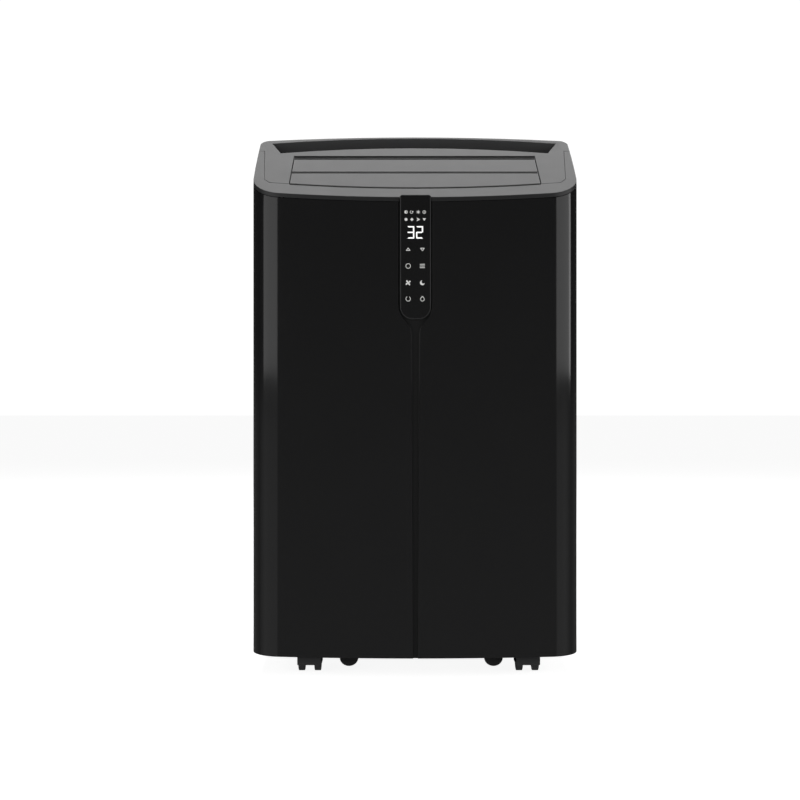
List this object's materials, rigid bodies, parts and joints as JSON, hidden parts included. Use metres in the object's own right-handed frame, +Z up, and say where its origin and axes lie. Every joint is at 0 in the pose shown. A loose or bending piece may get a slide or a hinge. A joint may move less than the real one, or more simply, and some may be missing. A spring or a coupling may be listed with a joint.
{
  "type": "portable air conditioner",
  "caption": "Free-standing room air conditioner with a sloping top outlet, touch control strip, rear grilles, round exhaust collar and swivel casters.",
  "frame": {"origin": "on the floor under the centre of the machine's box", "axes": "+Z up, front faces -Y, +X to the right of a person facing the front"},
  "size_m": [0.47, 0.388, 0.796],
  "materials": {
    "gloss_black": "gloss",
    "top_plastic": "satin gloss",
    "louvre_plastic": "satin gloss",
    "lens": "polished",
    "black_plastic": "fine texture",
    "white_plastic": "moulded",
    "fan_plastic": "moulded",
    "filter_plastic": "moulded",
    "board": "coated",
    "fin_metal": "finned",
    "steel": "plated",
    "painted_black": "semi-gloss",
    "copper": "drawn tube",
    "rubber": "moulded",
    "caster_plastic": "moulded nylon",
    "wheel_plastic": "moulded nylon"
  },
  "bodies": {
    "cabinet": {"front_panel": "gloss_black", "rear_shell": "gloss_black", "top_trim": "top_plastic", "top_cover": "top_plastic", "control_lens": "lens", "display_board": "board", "base_pan": "black_plastic", "partition_tray": "white_plastic", "left_hand_grip": "black_plastic", "right_hand_grip": "black_plastic", "left_stop_foot": "rubber", "right_stop_foot": "rubber", "louvre_motor": "steel", "outlet_duct": "black_plastic", "evaporator_coil": "fin_metal", "condenser_coil": "fin_metal", "compressor": "painted_black", "accumulator": "painted_black", "discharge_pipe": "copper", "suction_pipe": "copper", "liquid_pipe": "copper", "evaporator_scroll": "white_plastic", "evaporator_motor": "steel", "condenser_scroll": "white_plastic", "condenser_motor": "steel", "exhaust_duct": "black_plastic", "exhaust_collar": "black_plastic", "cord_gland": "black_plastic", "control_box": "steel", "main_board": "board", "slinger_motor": "steel", "compressor_grommet_1": "rubber", "compressor_grommet_2": "rubber", "compressor_grommet_3": "rubber"},
    "louvre_front": {"louvre_blade_front": "louvre_plastic"},
    "louvre_rear": {"louvre_blade_rear": "louvre_plastic"},
    "louvre_link_bar": {"louvre_link": "white_plastic"},
    "vane_1": {"vane_1": "black_plastic"},
    "vane_2": {"vane_2": "black_plastic"},
    "vane_3": {"vane_3": "black_plastic"},
    "vane_4": {"vane_4": "black_plastic"},
    "vane_5": {"vane_5": "black_plastic"},
    "vane_link": {"vane_link": "black_plastic"},
    "evaporator_fan": {"evaporator_wheel": "fan_plastic"},
    "condenser_fan": {"condenser_wheel": "fan_plastic"},
    "slinger": {"slinger_wheel": "white_plastic"},
    "upper_filter_door": {"upper_intake_grille": "black_plastic", "upper_filter": "filter_plastic"},
    "lower_filter_door": {"lower_intake_grille": "black_plastic", "lower_filter": "filter_plastic"},
    "upper_drain": {"upper_drain_plug": "rubber"},
    "lower_drain": {"lower_drain_plug": "rubber"},
    "caster_front_left": {"caster_front_left_hood": "caster_plastic"},
    "wheels_front_left": {"caster_front_left_wheels": "wheel_plastic"},
    "caster_front_right": {"caster_front_right_hood": "caster_plastic"},
    "wheels_front_right": {"caster_front_right_wheels": "wheel_plastic"},
    "caster_rear_left": {"caster_rear_left_hood": "caster_plastic"},
    "wheels_rear_left": {"caster_rear_left_wheels": "wheel_plastic"},
    "caster_rear_right": {"caster_rear_right_hood": "caster_plastic"},
    "wheels_rear_right": {"caster_rear_right_wheels": "wheel_plastic"}
  },
  "joints": [
    {"name": "louvre_front_pivot", "type": "hinge", "parent": "cabinet", "child": "louvre_front", "pos_m": [0, -0.13484, 0.69842], "axis": [-1, 0, 0], "range_deg": [0, 75]},
    {"name": "louvre_rear_pivot", "type": "hinge", "parent": "cabinet", "child": "louvre_rear", "pos_m": [0, -0.08736, 0.7289], "axis": [-1, 0, 0], "range_deg": [0, 75]},
    {"name": "louvre_link_pivot", "type": "hinge", "parent": "louvre_front", "child": "louvre_link_bar", "pos_m": [-0.198, -0.12728, 0.68663], "axis": [-1, 0, 0], "range_deg": [-75, 0]},
    {"name": "vane_1_pivot", "type": "hinge", "parent": "cabinet", "child": "vane_1", "pos_m": [-0.1432, -0.08309, 0.67104], "axis": [0, -0.5402, 0.8415], "range_deg": [-35, 35]},
    {"name": "vane_2_pivot", "type": "hinge", "parent": "cabinet", "child": "vane_2", "pos_m": [-0.0716, -0.08309, 0.67104], "axis": [0, -0.5402, 0.8415], "range_deg": [-35, 35]},
    {"name": "vane_3_pivot", "type": "hinge", "parent": "cabinet", "child": "vane_3", "pos_m": [0, -0.08309, 0.67104], "axis": [0, -0.5402, 0.8415], "range_deg": [-35, 35]},
    {"name": "vane_4_pivot", "type": "hinge", "parent": "cabinet", "child": "vane_4", "pos_m": [0.0716, -0.08309, 0.67104], "axis": [0, -0.5402, 0.8415], "range_deg": [-35, 35]},
    {"name": "vane_5_pivot", "type": "hinge", "parent": "cabinet", "child": "vane_5", "pos_m": [0.1432, -0.08309, 0.67104], "axis": [0, -0.5402, 0.8415], "range_deg": [-35, 35]},
    {"name": "vane_link_pivot", "type": "hinge", "parent": "vane_1", "child": "vane_link", "pos_m": [-0.1432, -0.11018, 0.67622], "axis": [0, -0.5402, 0.8415], "range_deg": [-35, 35]},
    {"name": "evaporator_fan_spin", "type": "hinge", "parent": "cabinet", "child": "evaporator_fan", "pos_m": [-0.08, -0.0305, 0.50789], "axis": [0, 1, 0], "continuous": true},
    {"name": "condenser_fan_spin", "type": "hinge", "parent": "cabinet", "child": "condenser_fan", "pos_m": [0.06045, -0.0035, 0.1514], "axis": [0, 1, 0], "continuous": true},
    {"name": "slinger_spin", "type": "hinge", "parent": "cabinet", "child": "slinger", "pos_m": [-0.02, 0.105, 0.066], "axis": [0, 1, 0], "continuous": true},
    {"name": "upper_filter_pull", "type": "slide", "parent": "cabinet", "child": "upper_filter_door", "axis": [0, 1, 0], "range_m": [0, 0.15]},
    {"name": "lower_filter_pull", "type": "slide", "parent": "cabinet", "child": "lower_filter_door", "axis": [0, 1, 0], "range_m": [0, 0.15]},
    {"name": "upper_drain_pull", "type": "slide", "parent": "cabinet", "child": "upper_drain", "axis": [0, 1, 0], "range_m": [0, 0.04]},
    {"name": "lower_drain_pull", "type": "slide", "parent": "cabinet", "child": "lower_drain", "axis": [0, 1, 0], "range_m": [0, 0.04]},
    {"name": "caster_front_left_swivel", "type": "hinge", "parent": "cabinet", "child": "caster_front_left", "pos_m": [-0.151, -0.1235, 0.045], "axis": [0, 0, 1], "continuous": true},
    {"name": "caster_front_left_roll", "type": "hinge", "parent": "caster_front_left", "child": "wheels_front_left", "pos_m": [-0.151, -0.1355, 0.019], "axis": [1, 0, 0], "continuous": true},
    {"name": "caster_front_right_swivel", "type": "hinge", "parent": "cabinet", "child": "caster_front_right", "pos_m": [0.161, -0.1235, 0.045], "axis": [0, 0, 1], "continuous": true},
    {"name": "caster_front_right_roll", "type": "hinge", "parent": "caster_front_right", "child": "wheels_front_right", "pos_m": [0.161, -0.1355, 0.019], "axis": [1, 0, 0], "continuous": true},
    {"name": "caster_rear_left_swivel", "type": "hinge", "parent": "cabinet", "child": "caster_rear_left", "pos_m": [-0.156, 0.122, 0.045], "axis": [0, 0, 1], "continuous": true},
    {"name": "caster_rear_left_roll", "type": "hinge", "parent": "caster_rear_left", "child": "wheels_rear_left", "pos_m": [-0.156, 0.11, 0.019], "axis": [1, 0, 0], "continuous": true},
    {"name": "caster_rear_right_swivel", "type": "hinge", "parent": "cabinet", "child": "caster_rear_right", "pos_m": [0.156, 0.122, 0.045], "axis": [0, 0, 1], "continuous": true},
    {"name": "caster_rear_right_roll", "type": "hinge", "parent": "caster_rear_right", "child": "wheels_rear_right", "pos_m": [0.156, 0.11, 0.019], "axis": [1, 0, 0], "continuous": true}
  ],
  "couplings": [
    {"joint": "louvre_rear_pivot", "follows": "louvre_front_pivot", "ratio": 1},
    {"joint": "louvre_link_pivot", "follows": "louvre_front_pivot", "ratio": -1},
    {"joint": "vane_2_pivot", "follows": "vane_1_pivot", "ratio": 1},
    {"joint": "vane_3_pivot", "follows": "vane_1_pivot", "ratio": 1},
    {"joint": "vane_4_pivot", "follows": "vane_1_pivot", "ratio": 1},
    {"joint": "vane_5_pivot", "follows": "vane_1_pivot", "ratio": 1},
    {"joint": "vane_link_pivot", "follows": "vane_1_pivot", "ratio": -1}
  ]
}
